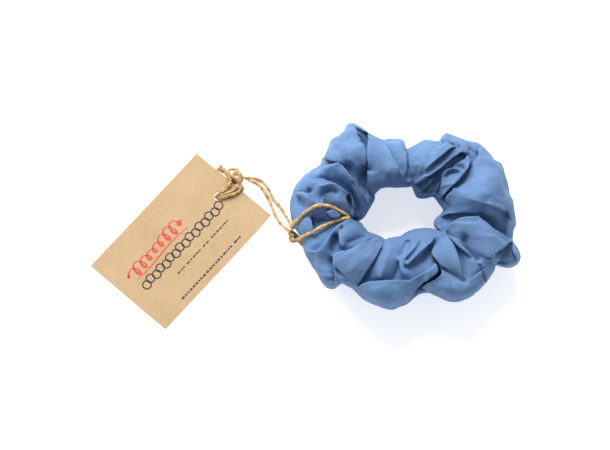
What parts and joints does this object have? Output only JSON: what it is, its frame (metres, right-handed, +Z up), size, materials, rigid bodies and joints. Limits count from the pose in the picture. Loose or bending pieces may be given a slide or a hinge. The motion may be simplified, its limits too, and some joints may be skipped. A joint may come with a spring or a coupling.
{
  "type": "fabric hair scrunchie with hang tag",
  "caption": "Gathered cotton tube sewn closed round an elastic loop, with a kraft hang tag tied on by a doubled jute twine hitch.",
  "frame": {"origin": "middle of the ring's footprint, on the surface that the ring lies on", "axes": "+Z up through the ring's hair opening, +X along the ring's long diameter, away from the hang tag, +Y across it"},
  "size_m": [0.2271, 0.1107, 0.0367],
  "materials": {
    "cotton": "matte woven",
    "elastic": "matte braided",
    "thread": "satin",
    "jute": "rough twisted fibre",
    "kraft": "matte card"
  },
  "bodies": {
    "ring": {"fabric_cover": "cotton", "elastic_band": "elastic", "elastic_bar_tack": "thread", "side_seam_thread": "thread", "closing_seam_thread": "thread", "twine_hitch": "jute"},
    "leader": {"twine_strand_a": "jute", "twine_strand_b": "jute"},
    "knot": {"twine_knot": "jute", "tag_loop": "jute", "twine_tails": "jute"},
    "tag": {"hang_tag": "kraft"}
  },
  "joints": [
    {"name": "twine_swing", "type": "hinge", "parent": "ring", "child": "leader", "pos_m": [-0.0625, -0.0075, 0.008], "axis": [0, 0, 1], "range_deg": [-4, 45]},
    {"name": "tag_lift", "type": "hinge", "parent": "leader", "child": "knot", "pos_m": [-0.0856, 0.0266, 0.0028], "axis": [-0.7501, 0.6614, 0], "range_deg": [0, 95]},
    {"name": "tag_turn", "type": "hinge", "parent": "knot", "child": "tag", "pos_m": [-0.10005, 0.01585, 0.0021], "axis": [-0.0173, -0.0196, 0.9997], "range_deg": [-10, 2]}
  ]
}
